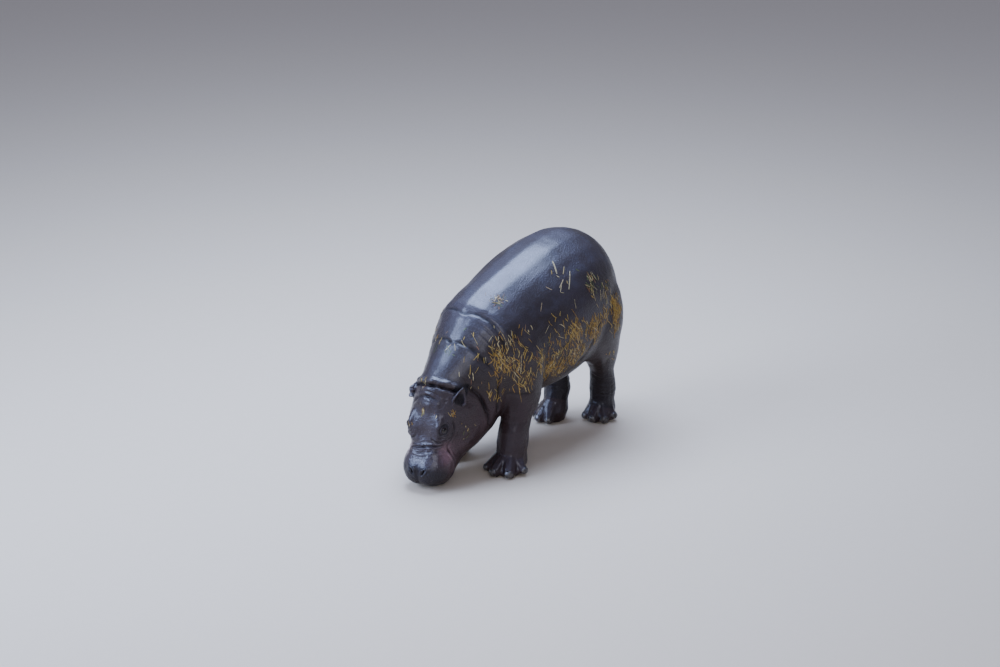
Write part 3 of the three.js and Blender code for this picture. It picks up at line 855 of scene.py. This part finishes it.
strawPlan = dict(
    # middle in mm, how far it spreads, how many on the left side, how many on the right, how golden
    patches=[
        ((222, 122, 388), 32, 26, 10, 0.85), ((208, 130, 350), 40, 34, 12, 0.8),
        ((205, 132, 430), 42, 16, 6, 0.6), ((165, 150, 352), 52, 30, 12, 0.6),
        ((140, 158, 310), 46, 26, 10, 0.7), ((145, 148, 420), 56, 20, 8, 0.5),
        ((80, 178, 340), 50, 32, 14, 0.65), ((10, 179, 370), 55, 28, 12, 0.6),
        ((18, 158, 301), 34, 44, 16, 0.85), ((-30, 160, 292), 44, 46, 18, 0.8),
        ((-70, 188, 406), 32, 40, 14, 0.9), ((-75, 178, 350), 50, 36, 16, 0.75),
        ((-100, 165, 310), 46, 34, 14, 0.75), ((-140, 185, 385), 40, 28, 12, 0.8),
        ((-176, 187, 391), 34, 34, 14, 0.85), ((-190, 178, 350), 36, 22, 10, 0.8),
        ((-235, 178, 400), 32, 22, 10, 0.8), ((-300, 170, 395), 26, 50, 18, 0.95),
        ((-296, 168, 430), 24, 22, 10, 0.9), ((-290, 165, 350), 26, 20, 8, 0.85),
        ((-175, 166, 520), 34, 32, 12, 0.10), ((-236, 168, 470), 40, 18, 8, 0.3),
        ((-70, 139, 552), 60, 4, 3, 0.3), ((20, 165, 440), 70, 9, 6, 0.45),
        ((240, 90, 400), 46, 14, 6, 0.4), ((284, 40, 430), 46, 5, 4, 0.35),
        ((300, 80, 330), 34, 8, 4, 0.4), ((226, 112, 270), 34, 14, 8, 0.6),
        ((-300, 110, 250), 40, 6, 4, 0.5), ((318, 0, 402), 28, 5, 0, 0.03),
    ],
    density=1.35,  # strands for each one that the patches name
    tuft=((152, 65, 538), 24, 40, 0.12),  # middle, spread, count, how golden
    onHead=[((49, -6, 14), 13, 8, 0.3), ((36, 80, -16), 13, 12, 0.95), ((88, -54, 0), 12, 8, 0.9),
            ((-38, -18, 24), 15, 7, 0.35), ((52, 40, 12), 12, 2, 0.3), ((80, 100, -70), 40, 8, 0.35)],
    stalks=[((-79, 90, 598), (-62, 120, 570), 4.2, 0.28), ((-111, 132, 568), (-75, 156, 525), 3.0, 0.3),
            ((-44, 144, 536), (-71, 137, 553), 3.0, 0.26), ((-58, 140, 544), (-40, 150, 524), 1.8, 0.3)],
    length=(7, 30), width=(0.8, 2.3), height=0.6, stalkHeight=0.8, lift=0.3,
    longShare=0.12, longer=1.6,  # a few strands are longer than the rest
    heading=((0.25, 0.6), (0, 0.4)),  # middle and spread of their lean, as they dried mostly upright
    bend=0.05, raised=(0.1, 0.8), lowest=4, shortest=2, shortestStep=0.2,
    small=0.6,  # size of the strands in the tuft and on the head
    outline=(0.6, 1, 1, 0.95, 0.5), stalkOutline=(0.7, 1, 1, 1, 0.95, 0.6),  # widths along a strand
    tones=[(0.0, (0.07, 0.11, 0.03)), (0.05, (0.18, 0.07, 0.03)), (0.16, (0.18, 0.07, 0.03)),
           (0.3, (0.50, 0.43, 0.25)), (0.6, (0.42, 0.29, 0.055)), (1.0, (0.32, 0.17, 0.013))],
    fibre=(0.10, 0.055, 0.018), fibres=260, roughness=0.5,
)


# One attribute for each: painted shade in hollows and creases; rosy skin; brown face; dark muzzle, partly its
# own colour and partly painted shade, with painted shadow on the legs; muddy toes; rings of the neck;
# wrinkles of the bridge; painted reflection of brown ground on the lower flank; what faces up; crumbs of
# straw.
hideMasks = ("pit", "rosy", "warm", "dark", "toes", "neck", "bridge", "low", "above", "chaff")
hideLook = dict(
    slate=(0.031, 0.023, 0.028), umber=(0.019, 0.012, 0.011), ash=(0.042, 0.041, 0.060),
    # On the next line the first colour is a painted reflection of brown ground on the lower flank, and the
    # last is the muzzle's dark front, partly its own colour and partly painted shade, with painted shadow on
    # the legs.
    groundReflection=(0.028, 0.017, 0.011), maroon=(0.029, 0.014, 0.013), darkToneAndShade=(0.008, 0.006, 0.006),
    # The near-black colour on the next line is painted shade for hollows, creases, slits, ear cups and eye
    # sockets.
    rosy=(0.21, 0.115, 0.135), pit=(0.003, 0.002, 0.002), toes=(0.030, 0.031, 0.042),
    chaff=(0.15, 0.085, 0.020),
    broad=5, patch=22, speck=130, crumb=170, pebble=230, fine=520,  # how many to the metre
    neckRings=(0.0045, 0.05, 0.05), bridgeRings=(0.0036, 0.03, 0.03), neckSlope=31,  # metres and degrees
    bump=1.0, grain=0.0017, sheen=(0.80, 0.83, 1.0, 1), coatRoughness=0.27, gloss=1.36,
)


def hideMaterial():
    g = Graph("wetHide")
    look = hideLook
    at = g.places()
    broad = g.noise(at, look["broad"], 4)
    patch = g.noise(at, look["patch"], 4, 0.6)
    speck = g.noise(at, look["speck"], 3, 0.6)
    pebble = g.cells(at, look["pebble"])
    fine = g.cells(at, look["fine"])
    pit, rosy, warm, dark, toes, neck, bridge, low, above, chaff = (g.attribute(name) for name in hideMasks)
    colour = g.between(g.mask(broad, 0.35, 0.65), look["umber"], look["slate"])
    colour = g.between(g.mask(patch, 0.45, 0.75) * 0.45, colour, look["ash"])
    # painted reflection of brown ground, browner low on the flank
    colour = g.between(g.mask(low + patch * 0.5, 0.45, 1.1) * 0.75, colour, look["groundReflection"])
    colour = g.between(warm * (patch * 0.7 + 0.5), colour, look["maroon"])
    # the muzzle's dark front, partly its own colour and partly painted shade, and painted shadow on the legs
    colour = g.between(dark * (patch * 0.5 + 0.55), colour, look["darkToneAndShade"])
    colour = g.between(toes * 0.7, colour, look["toes"])
    colour = g.between(rosy * (g.mask(patch, 0.3, 0.62) * 0.6 + 0.4), colour, look["rosy"])
    colour = g.between(g.mask(speck, 0.52, 0.72) * 0.4, colour, look["umber"])
    bits = chaff * g.mask(g.noise(at, look["crumb"], 4, 0.65) + patch * 0.3, 0.64, 0.76)
    colour = g.between(bits * 0.85, colour, look["chaff"])
    # painted shade: near black in hollows, creases, slits, ear cups and round the eyes
    colour = g.between(pit * 0.9, colour, look["pit"])
    rough = patch * 0.20 + g.mask(speck, 0.3, 0.8) * 0.14 + 0.27 + pit * 0.3
    rings = g.noise(g.stretched(at, (0, math.radians(look["neckSlope"]), 0), look["neckRings"]), 1, 3)
    headTilt = (0, math.radians(headAim["pitch"]), math.radians(headAim["turn"]))
    across = g.noise(g.stretched(at, headTilt, look["bridgeRings"]), 1, 3)
    lift = pebble * 0.7 + fine * 0.25 + patch * 0.4 + speck * 0.7 + rings * neck + across * bridge * 1.4
    bump = {"Strength": look["bump"], "Distance": look["grain"], "Height": lift}
    wet = g.mask(broad + patch * 0.6, 0.5, 1.0) * 0.2 + 0.03 + above * 0.6
    wet = wet * (1 - pit * 0.8) * (1 - bits * 0.7) * (1 - dark * 0.5)
    return g.finish(**{
        "Base Color": colour, "Roughness": rough, "Coat Weight": wet,
        "Normal": g.node("ShaderNodeBump", None, bump),
        "Coat Roughness": look["coatRoughness"], "Specular Tint": look["sheen"], "IOR": look["gloss"]})


def addPiece(name, mesh, material, slot, *nodes):
    piece = bpy.data.objects.new(name, mesh)
    bpy.context.scene.collection.objects.link(piece)
    mesh.materials.clear()
    mesh.materials.append(material)
    for polygon in mesh.polygons:
        polygon.use_smooth = True
    if nodes:
        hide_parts(*nodes)
    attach(piece, "root")
    print(name, len(mesh.polygons), "faces")
    return piece


def writeMask(mesh, name, values):
    layer = mesh.attributes.new(name, "FLOAT", "POINT")
    layer.data.foreach_set("value", np.clip(values, 0, 1).astype(np.float32))


def spot(place, reach):  # 1 in the middle, softly down to 0; place and reach in mm
    return np.exp(-sum((value / size) ** 2 for value, size in zip(place, reach)))


def paintSkin(sculpt):
    masks = {}
    near = Neighbours(len(sculpt.points), sculpt.edges)
    # Painted shade: darker where the skin is hollow, along creases, slits and folds, inside the ear cups and
    # round the eyes.
    hollow = np.einsum("ij,ij->i", near.soften(sculpt.points, 14) - sculpt.points, sculpt.normals) / mm
    # painted shade round each eye, where the socket lies deep
    socket = np.exp(-(fromEyes(sculpt.points) / eyePlan["socket"]) ** 2) * 0.5
    pit = np.maximum(smoothStep(0.35, 1.8, hollow) * 0.8, near.soften(sculpt.shade, 1) * 0.9)
    masks["pit"] = np.maximum(pit, socket)
    along, aside, out = headPlaces(sculpt.points).T
    x, y, z = sculpt.points.T / mm
    side = np.abs(aside)
    cheek = spot((along - 80, out + 125), (80, 55)) * smoothStep(-175, -100, along)
    lips = spot((along - 176, out + 74), (50, 24)) * smoothStep(30, 60, side)
    corner = spot((along - 160, out + 46), (30, 20)) * smoothStep(34, 54, side)
    belly = smoothStep(320, 200, z) * smoothStep(110, 40, np.abs(y)) * (along < -60) * smoothStep(150, 200, z)
    masks["rosy"] = 0.10 * cheek + 0.30 * lips + corner + belly * 0.35
    face = smoothStep(-60, 0, along) * (0.45 + 0.55 * smoothStep(10, -40, out))
    masks["warm"] = face + 0.4 * smoothStep(330, 230, z) * (along < 0)
    # painted shadow on the legs under the body
    legShadow = smoothStep(260, 120, z) * (along < -30)
    masks["dark"] = smoothStep(196, 222, along) * (1 - 0.6 * lips) + 0.8 * legShadow
    masks["above"] = smoothStep(-0.15, 0.65, sculpt.normals[:, 2])
    masks["toes"] = smoothStep(80, 30, z) * (along < -60)
    # painted reflection of brown ground: browner low on the body, above the feet
    masks["low"] = smoothStep(440, 250, z) * (along < -30) * smoothStep(60, 110, z)
    masks["chaff"] = np.zeros(len(x))
    for middle, spread, left, right, golden in strawPlan["patches"]:
        for count, sign in ((left, 1), (right, -1)):
            away = (sculpt.points / mm - np.array(middle) * (1, sign, 1)).T
            masks["chaff"] += count / spread * spot(away, (0.75 * spread,) * 3) * golden * 0.9
    masks["neck"] = smoothStep(110, 190, x) * smoothStep(-20, -50, along) * smoothStep(300, 360, z + 0.15 * x)
    bridge = smoothStep(112, 136, along) * smoothStep(205, 175, along)
    masks["bridge"] = bridge * smoothStep(-50, -30, out)
    for name in hideMasks:
        writeMask(sculpt.mesh, name, masks[name])


paintSkin(sculpt)
addPiece("skin", skinMesh, hideMaterial(), "hide", *fleshNodes)


eyeLook = dict(
    iris=((0.006, 0.003, 0.002), (0.022, 0.010, 0.005)), streaks=900,
    white=(0.012, 0.008, 0.007), pupil=(0.001, 0.001, 0.001),
    roughness=0.15, coat=0.3, coatRoughness=0.015, gloss=1.33,
)


def eyeMaterial():
    g = Graph("wetEye")
    look = eyeLook
    share = g.attribute("share")
    colour = g.between(g.noise(g.places(), look["streaks"], 3), *look["iris"])
    colour = g.between(g.mask(share, eyePlan["iris"] - 0.05, eyePlan["iris"] + 0.06), colour, look["white"])
    colour = g.between(g.mask(share, eyePlan["pupil"] - 0.03, eyePlan["pupil"] + 0.04), look["pupil"], colour)
    return g.finish(**{
        "Base Color": colour, "Roughness": look["roughness"], "Coat Weight": look["coat"],
        "Coat Roughness": look["coatRoughness"], "IOR": look["gloss"]})


def addEye(side, sign, material):
    centre, radius, sight, _, _ = eyeFrame(side, sign)
    bm = bmesh.new()
    bmesh.ops.create_uvsphere(bm, u_segments=eyePlan["segments"], v_segments=eyePlan["rings"], radius=1)
    turn = Vector((0, 0, 1)).rotation_difference(Vector(sight)).to_matrix()
    shares = []
    for v in bm.verts:
        share = math.acos(max(-1, min(1, v.co.z)))  # radians from the middle of the pupil
        shares.append(share)
        clear = eyePlan["bulge"] * max(0, 1 - (share / eyePlan["bulgeSize"]) ** 2) ** 2  # the clear front
        v.co = Vector(centre) + (turn @ v.co) * radius * eyePlan["fit"] * (1 + clear) * mm
    mesh = meshOf(bm, "eye_" + side)
    writeMask(mesh, "share", np.array(shares))
    addPiece("eyeball_" + side, mesh, material, "eye", "eye_" + side)


eyeFinish = eyeMaterial()
addEye("left", 1, eyeFinish)
addEye("right", -1, eyeFinish)


nailPlan = dict(
    grow=1.0, voxel=1.1, rounds=34,  # mm, mm and rounds of smoothing
    horn=((0.022, 0.019, 0.020), (0.085, 0.070, 0.062)), rings=160, bump=0.5, grain=0.0006, coat=0.4,
    coatRoughness=0.15,
)


def nailMaterial():
    g = Graph("wetNail")
    rings = g.noise(g.places(), nailPlan["rings"], 3)
    colour = g.between(g.mask(rings, 0.35, 0.7), *nailPlan["horn"])
    bump = {"Strength": nailPlan["bump"], "Distance": nailPlan["grain"], "Height": rings}
    return g.finish(**{
        "Base Color": colour, "Roughness": rings * 0.3 + 0.15, "Normal": g.node("ShaderNodeBump", None, bump),
        "Coat Weight": nailPlan["coat"], "Coat Roughness": nailPlan["coatRoughness"]})


def smoothNail(node):
    made = remeshed(grown(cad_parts[node], nailPlan["grow"]), nailPlan["voxel"])
    points, edges = meshArrays(made)
    points = Neighbours(len(points), edges).smoothed(points, nailPlan["rounds"])
    points[:, 2] = np.maximum(points[:, 2], aboveFloor)
    setPoints(made, points)
    return made


def addNails(foot, material):
    nodes = [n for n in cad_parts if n.startswith(foot + "_nail")]
    bm = bmesh.new()
    for node in nodes:
        bm.from_mesh(smoothNail(node))
    addPiece("nails_" + foot, meshOf(bm, "nails"), material, "nail", *nodes)


nailFinish = nailMaterial()
for foot in ("front_left", "front_right", "hind_left", "hind_right"):
    addNails(foot, nailFinish)


# Half the size of a strand's patch on the OFBake map, and the room that the map leaves around the whole.
bakePlan = dict(across=0.0012, along=0.0014, margin=1.1)


class Strands:  # many thin strips in one mesh, each with its own patch of the OFBake map
    def __init__(self):
        self.points, self.faces, self.patches, self.tones = [], [], [], []

    # path: places in metres; across: the way the strip is wide; widths and heights in mm
    def add(self, path, across, widths, heights, tone):
        start, last = len(self.points), len(path) - 1
        root = skinPatch(path[0])
        for k, place in enumerate(path):
            step = path[min(k + 1, last)] - path[max(k - 1, 0)]
            side = (across - step * across.dot(step) / step.length_squared).normalized()
            up = step.cross(side).normalized()
            for a, b in ((-1, -1), (1, -1), (1, 1), (-1, 1)):
                self.points.append(place + side * a * widths[k] * mm / 2 + up * b * heights[k] * mm / 2)
                patch = bakePlan["across"] * a, bakePlan["along"] * (2 * k / last - 1)
                self.patches.append((root[0] + patch[0], root[1] + patch[1]))
                self.tones.append(tone)
        for k in range(last):
            for i in range(4):
                j = (i + 1) % 4
                a, b = start + k * 4, start + k * 4 + 4
                self.faces.append((a + i, a + j, b + j, b + i))
        self.faces.append((start + 3, start + 2, start + 1, start))
        end = start + last * 4
        self.faces.append((end, end + 1, end + 2, end + 3))

    def piece(self, name, material, slot):
        mesh = bpy.data.meshes.new(name)
        mesh.from_pydata([tuple(p) for p in self.points], [], self.faces)
        layer = mesh.uv_layers.new(name="OFBake")
        corners = np.empty(len(mesh.loops), dtype=np.int64)
        mesh.loops.foreach_get("vertex_index", corners)
        layer.data.foreach_set("uv", np.array(self.patches)[corners].astype(np.float32).ravel())
        writeMask(mesh, "tone", np.array(self.tones))
        made = addPiece(name, mesh, material, slot)
        for polygon in mesh.polygons:
            polygon.use_smooth = False
        return made


skinTree = treeOf(skinMesh)
wholeMiddle = (cadLow + cadHigh) / 2
wholeSpan = (cadHigh - cadLow) * bakePlan["margin"]


def skinPatch(place):  # the place on an unwrap of the skin, which is cut into six sides
    place, normal, _, _ = skinTree.find_nearest(place)
    axis = max(range(3), key=lambda k: abs(normal[k]))
    one, two = [k for k in range(3) if k != axis]
    u = 0.5 + (place[one] - wholeMiddle[one]) / wholeSpan[one]
    v = 0.5 + (place[two] - wholeMiddle[two]) / wholeSpan[two]
    return (axis + u) / 3, ((normal[axis] > 0) + v) / 2


def layStraw(strands, pick, middle, spread, golden, scale=1):
    plan = strawPlan
    offset = Vector([pick.gauss(0, 0.5) for _ in range(3)]) * spread * mm
    root, normal, _, _ = skinTree.find_nearest(Vector(middle) + offset)
    heading = Vector([pick.gauss(*lean) for lean in plan["heading"]] + [1])
    heading = (heading - normal * heading.dot(normal)).normalized()
    length = pick.uniform(*plan["length"])
    if pick.random() < plan["longShare"]:
        length *= plan["longer"]
    length = length * scale * mm
    bend = normal.cross(heading) * pick.gauss(0, plan["bend"]) * length
    lift = pick.uniform(*plan["raised"])
    path = []
    for k in range(5):
        t = k / 4 - 0.5
        near, up, _, _ = skinTree.find_nearest(root + heading * length * t + bend * (4 * t * t - 1))
        path.append(near + up * (plan["lift"] + lift * (0.4 + 2 * (t + 0.2) ** 2)) * mm)
    steps = list(zip(path, path[1:]))
    if min(end.z for _, end in steps) < plan["lowest"] * mm:
        return
    if (path[-1] - path[0]).length < plan["shortest"] * mm:
        return
    if any((end - start).length < plan["shortestStep"] * mm for start, end in steps):
        return
    wide = pick.uniform(*plan["width"]) * (0.7 + 0.3 * scale)
    tone = min(1, max(0, golden + pick.gauss(0, 0.28)))
    widths = [wide * share for share in plan["outline"]]
    strands.add(path, normal.cross(heading), widths, [plan["height"]] * len(path), tone)


def layStalk(strands, first, last, wide, tone):
    path = []
    for k in range(6):
        near, up, _, _ = skinTree.find_nearest(Vector(first).lerp(Vector(last), k / 5) * mm)
        path.append(near + up * strawPlan["stalkHeight"] * mm)
    widths = [wide * share for share in strawPlan["stalkOutline"]]
    strands.add(path, (path[-1] - path[0]).cross(up), widths, [strawPlan["stalkHeight"]] * 6, tone)


def strawMaterial():
    g = Graph("straw")
    fibre = g.noise(g.places(), strawPlan["fibres"], 3)
    ramp = g.node("ShaderNodeValToRGB", {"stops": strawPlan["tones"]}, {0: g.attribute("tone")})
    colour = g.between(g.mask(fibre, 0.4, 0.7) * 0.75, ramp, strawPlan["fibre"])
    return g.finish(**{"Base Color": colour, "Roughness": strawPlan["roughness"]})


def addStraw():
    pick = random.Random(11)
    strands = Strands()
    for middle, spread, left, right, golden in strawPlan["patches"]:
        for count, sign in ((left, 1), (right, -1)):
            place = Vector((middle[0], sign * middle[1], middle[2])) * mm
            for _ in range(int(count * strawPlan["density"])):
                layStraw(strands, pick, place, spread, golden)
    for stalk in strawPlan["stalks"]:
        layStalk(strands, *stalk)
    middle, spread, count, golden = strawPlan["tuft"]
    for _ in range(count):
        layStraw(strands, pick, Vector(middle) * mm, spread, golden, strawPlan["small"])
    for place, spread, count, golden in strawPlan["onHead"]:
        for _ in range(count):
            layStraw(strands, pick, onHead(*place), spread, golden, strawPlan["small"])
    strands.piece("strawFlecks", strawMaterial(), "hide")


bristlePlan = dict(  # lengths and widths in mm; along, aside and out on the head's axes
    muzzle=dict(count=110, length=(3, 6), width=0.36, along=(190, 252), aside=(12, 72), out=(-84, -14)),
    chin=dict(count=40, length=(3, 7), width=0.42, along=(190, 240), aside=(-45, 45), out=-140),
    ear=dict(count=26, length=(2, 4.5), width=0.3),
    tail=dict(count=170, length=(12, 30), width=0.55, high=45, round=(8, 14), at=0.35),
    shares=(0, 0.35, 0.7, 1), taper=(1, 0.85, 0.6, 0.15),  # places along a bristle and its widths there
    droop=0.35, buried=0.4, upright=0.7,
    dark=(0.020, 0.014, 0.012), pale=(0.10, 0.075, 0.06), roughness=0.4,
)


def growBristle(strands, pick, place, heading, plan, spread=0.35):
    root, normal, _, _ = skinTree.find_nearest(place)
    look = bristlePlan
    stray = Vector([pick.gauss(0, spread) for _ in range(3)])
    aim = (normal * look["upright"] + heading + stray).normalized()
    length = pick.uniform(*plan["length"]) * mm
    droop = heading * length * look["droop"]
    start = root - normal * look["buried"] * mm
    path = [start + aim * length * t + droop * t * t for t in look["shares"]]
    wide = plan["width"] * pick.uniform(0.8, 1.15)
    widths = [wide * share for share in look["taper"]]
    strands.add(path, aim.orthogonal(), widths, widths, pick.random())


def growMuzzleBristles(strands, pick):
    plan = bristlePlan["muzzle"]
    for _ in range(plan["count"]):
        sign = pick.choice((-1, 1))
        along, aside = pick.uniform(*plan["along"]), sign * pick.uniform(*plan["aside"])
        place = onHead(along, aside, pick.uniform(*plan["out"]))
        growBristle(strands, pick, place, alongAxis * 0.5 + asideAxis * sign * 0.2, plan)
    plan = bristlePlan["chin"]
    for _ in range(plan["count"]):
        place = onHead(pick.uniform(*plan["along"]), pick.uniform(*plan["aside"]), plan["out"])
        growBristle(strands, pick, place, alongAxis * 0.6, plan)


def growEarBristles(strands, pick):
    for side in ("left", "right"):
        low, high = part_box("ear_" + side)
        middle = (low + high) / 2
        for _ in range(bristlePlan["ear"]["count"]):
            place = middle + Vector([pick.uniform(-0.5, 0.5) * v for v in high - low])
            growBristle(strands, pick, place, (place - middle).normalized() * 0.5, bristlePlan["ear"])


def growTailBristles(strands, pick):
    plan = bristlePlan["tail"]
    low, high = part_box("tail")
    across, aside = plan["round"]
    for _ in range(plan["count"]):
        share = pick.random() ** 2  # most of them near the end
        x = low.x + (high.x - low.x) * plan["at"] + pick.uniform(-across, across) * mm
        place = Vector((x, pick.uniform(-aside, aside) * mm, low.z + share * plan["high"] * mm))
        growBristle(strands, pick, place, Vector((-0.1, 0, -0.9)), plan, 0.2)


def addBristles():
    pick = random.Random(3)
    strands = Strands()
    growMuzzleBristles(strands, pick)
    growEarBristles(strands, pick)
    growTailBristles(strands, pick)
    g = Graph("bristle")
    colour = g.between(g.attribute("tone"), bristlePlan["dark"], bristlePlan["pale"])
    material = g.finish(**{"Base Color": colour, "Roughness": bristlePlan["roughness"]})
    strands.piece("bristles", material, "hide")


addStraw()
addBristles()


stagePlan = dict(
    floor=(0.64, 0.535, 0.400), floorSize=14, floorRoughness=0.75, mottle=0.96, mottles=30,
    zenith=(0.53, 0.60, 0.92), horizon=(0.21, 0.21, 0.245), worldBand=(0.05, 0.85), worldStrength=0.58,
    camera=dict(back=(0.7357, 0.5748, 0.3584), distance=9.0, shift=(-0.0283, 0, -0.023),
                aim=(-0.010, -0.056, 0.030), lens=106.2, sensor=36),
    # name: place, aim, size, watts, colour
    lamps=dict(
        sky=((-0.5, -0.6, 3.0), (0, 0, 0.3), 2.5, 250, (0.50, 0.64, 1.0)),
        neck=((2.35, -1.55, 2.15), (0.3, 0, 0.3), 1.9, 115, (0.48, 0.62, 1.0)),
        brow=((5.0, -2.4, 1.75), (0.35, 0, 0.2), 2.7, 245, (0.48, 0.62, 1.0)),
        fill=((2.6, 2.4, 2.0), (0, 0, 0.35), 2.2, 42, (0.86, 0.88, 1.0)),
    ),
)


def floorMaterial():
    g = Graph("studioFloor")
    pale = stagePlan["floor"]
    mottled = tuple(c * stagePlan["mottle"] for c in pale)
    colour = g.between(g.noise(g.places(), stagePlan["mottles"], 4), mottled, pale)
    return g.finish(**{"Base Color": colour, "Roughness": stagePlan["floorRoughness"]})


def addFloor():
    bm = bmesh.new()
    bmesh.ops.create_grid(bm, x_segments=8, y_segments=8, size=stagePlan["floorSize"])
    floor = bpy.data.objects.new("floor", meshOf(bm, "floor"))
    bpy.context.scene.collection.objects.link(floor)
    floor.data.materials.append(floorMaterial())


def addLamp(name, place, aim, size, power, colour):
    lamp = bpy.data.lights.new(name, "AREA")
    lamp.shape, lamp.size, lamp.energy, lamp.color = "DISK", size, power, colour
    holder = bpy.data.objects.new(name, lamp)
    holder.location = place
    holder.rotation_euler = (Vector(aim) - Vector(place)).to_track_quat("-Z", "Y").to_euler()
    holder.visible_camera = False  # seen only in what shines
    bpy.context.scene.collection.objects.link(holder)


def addWorld():
    world = bpy.data.worlds.new("studio")
    bpy.context.scene.world = world
    g = Graph("studio", world)
    height = g.node("ShaderNodeSeparateXYZ", None, {0: g.node("ShaderNodeTexCoord")}, 2)
    colour = g.between(g.mask(height, *stagePlan["worldBand"]), stagePlan["horizon"], stagePlan["zenith"])
    back = g.node("ShaderNodeBackground", None, {"Color": colour, "Strength": stagePlan["worldStrength"]})
    end = g.tree.nodes.new("ShaderNodeOutputWorld")
    g.tree.links.new(back.socket, end.inputs[0])


def addCamera():
    plan = stagePlan["camera"]
    lens = bpy.data.cameras.new("camera")
    lens.lens, lens.sensor_width = plan["lens"], plan["sensor"]
    lens.dof.use_dof = False
    camera = bpy.data.objects.new("camera", lens)
    camera.location = wholeMiddle + Vector(plan["shift"]) + Vector(plan["back"]) * plan["distance"]
    sight = wholeMiddle + Vector(plan["aim"])
    camera.rotation_euler = (sight - camera.location).to_track_quat("-Z", "Y").to_euler()
    bpy.context.scene.collection.objects.link(camera)
    bpy.context.scene.camera = camera


addFloor()
addWorld()
for name, lamp in stagePlan["lamps"].items():
    addLamp(name, *lamp)
addCamera()
print("stage set")
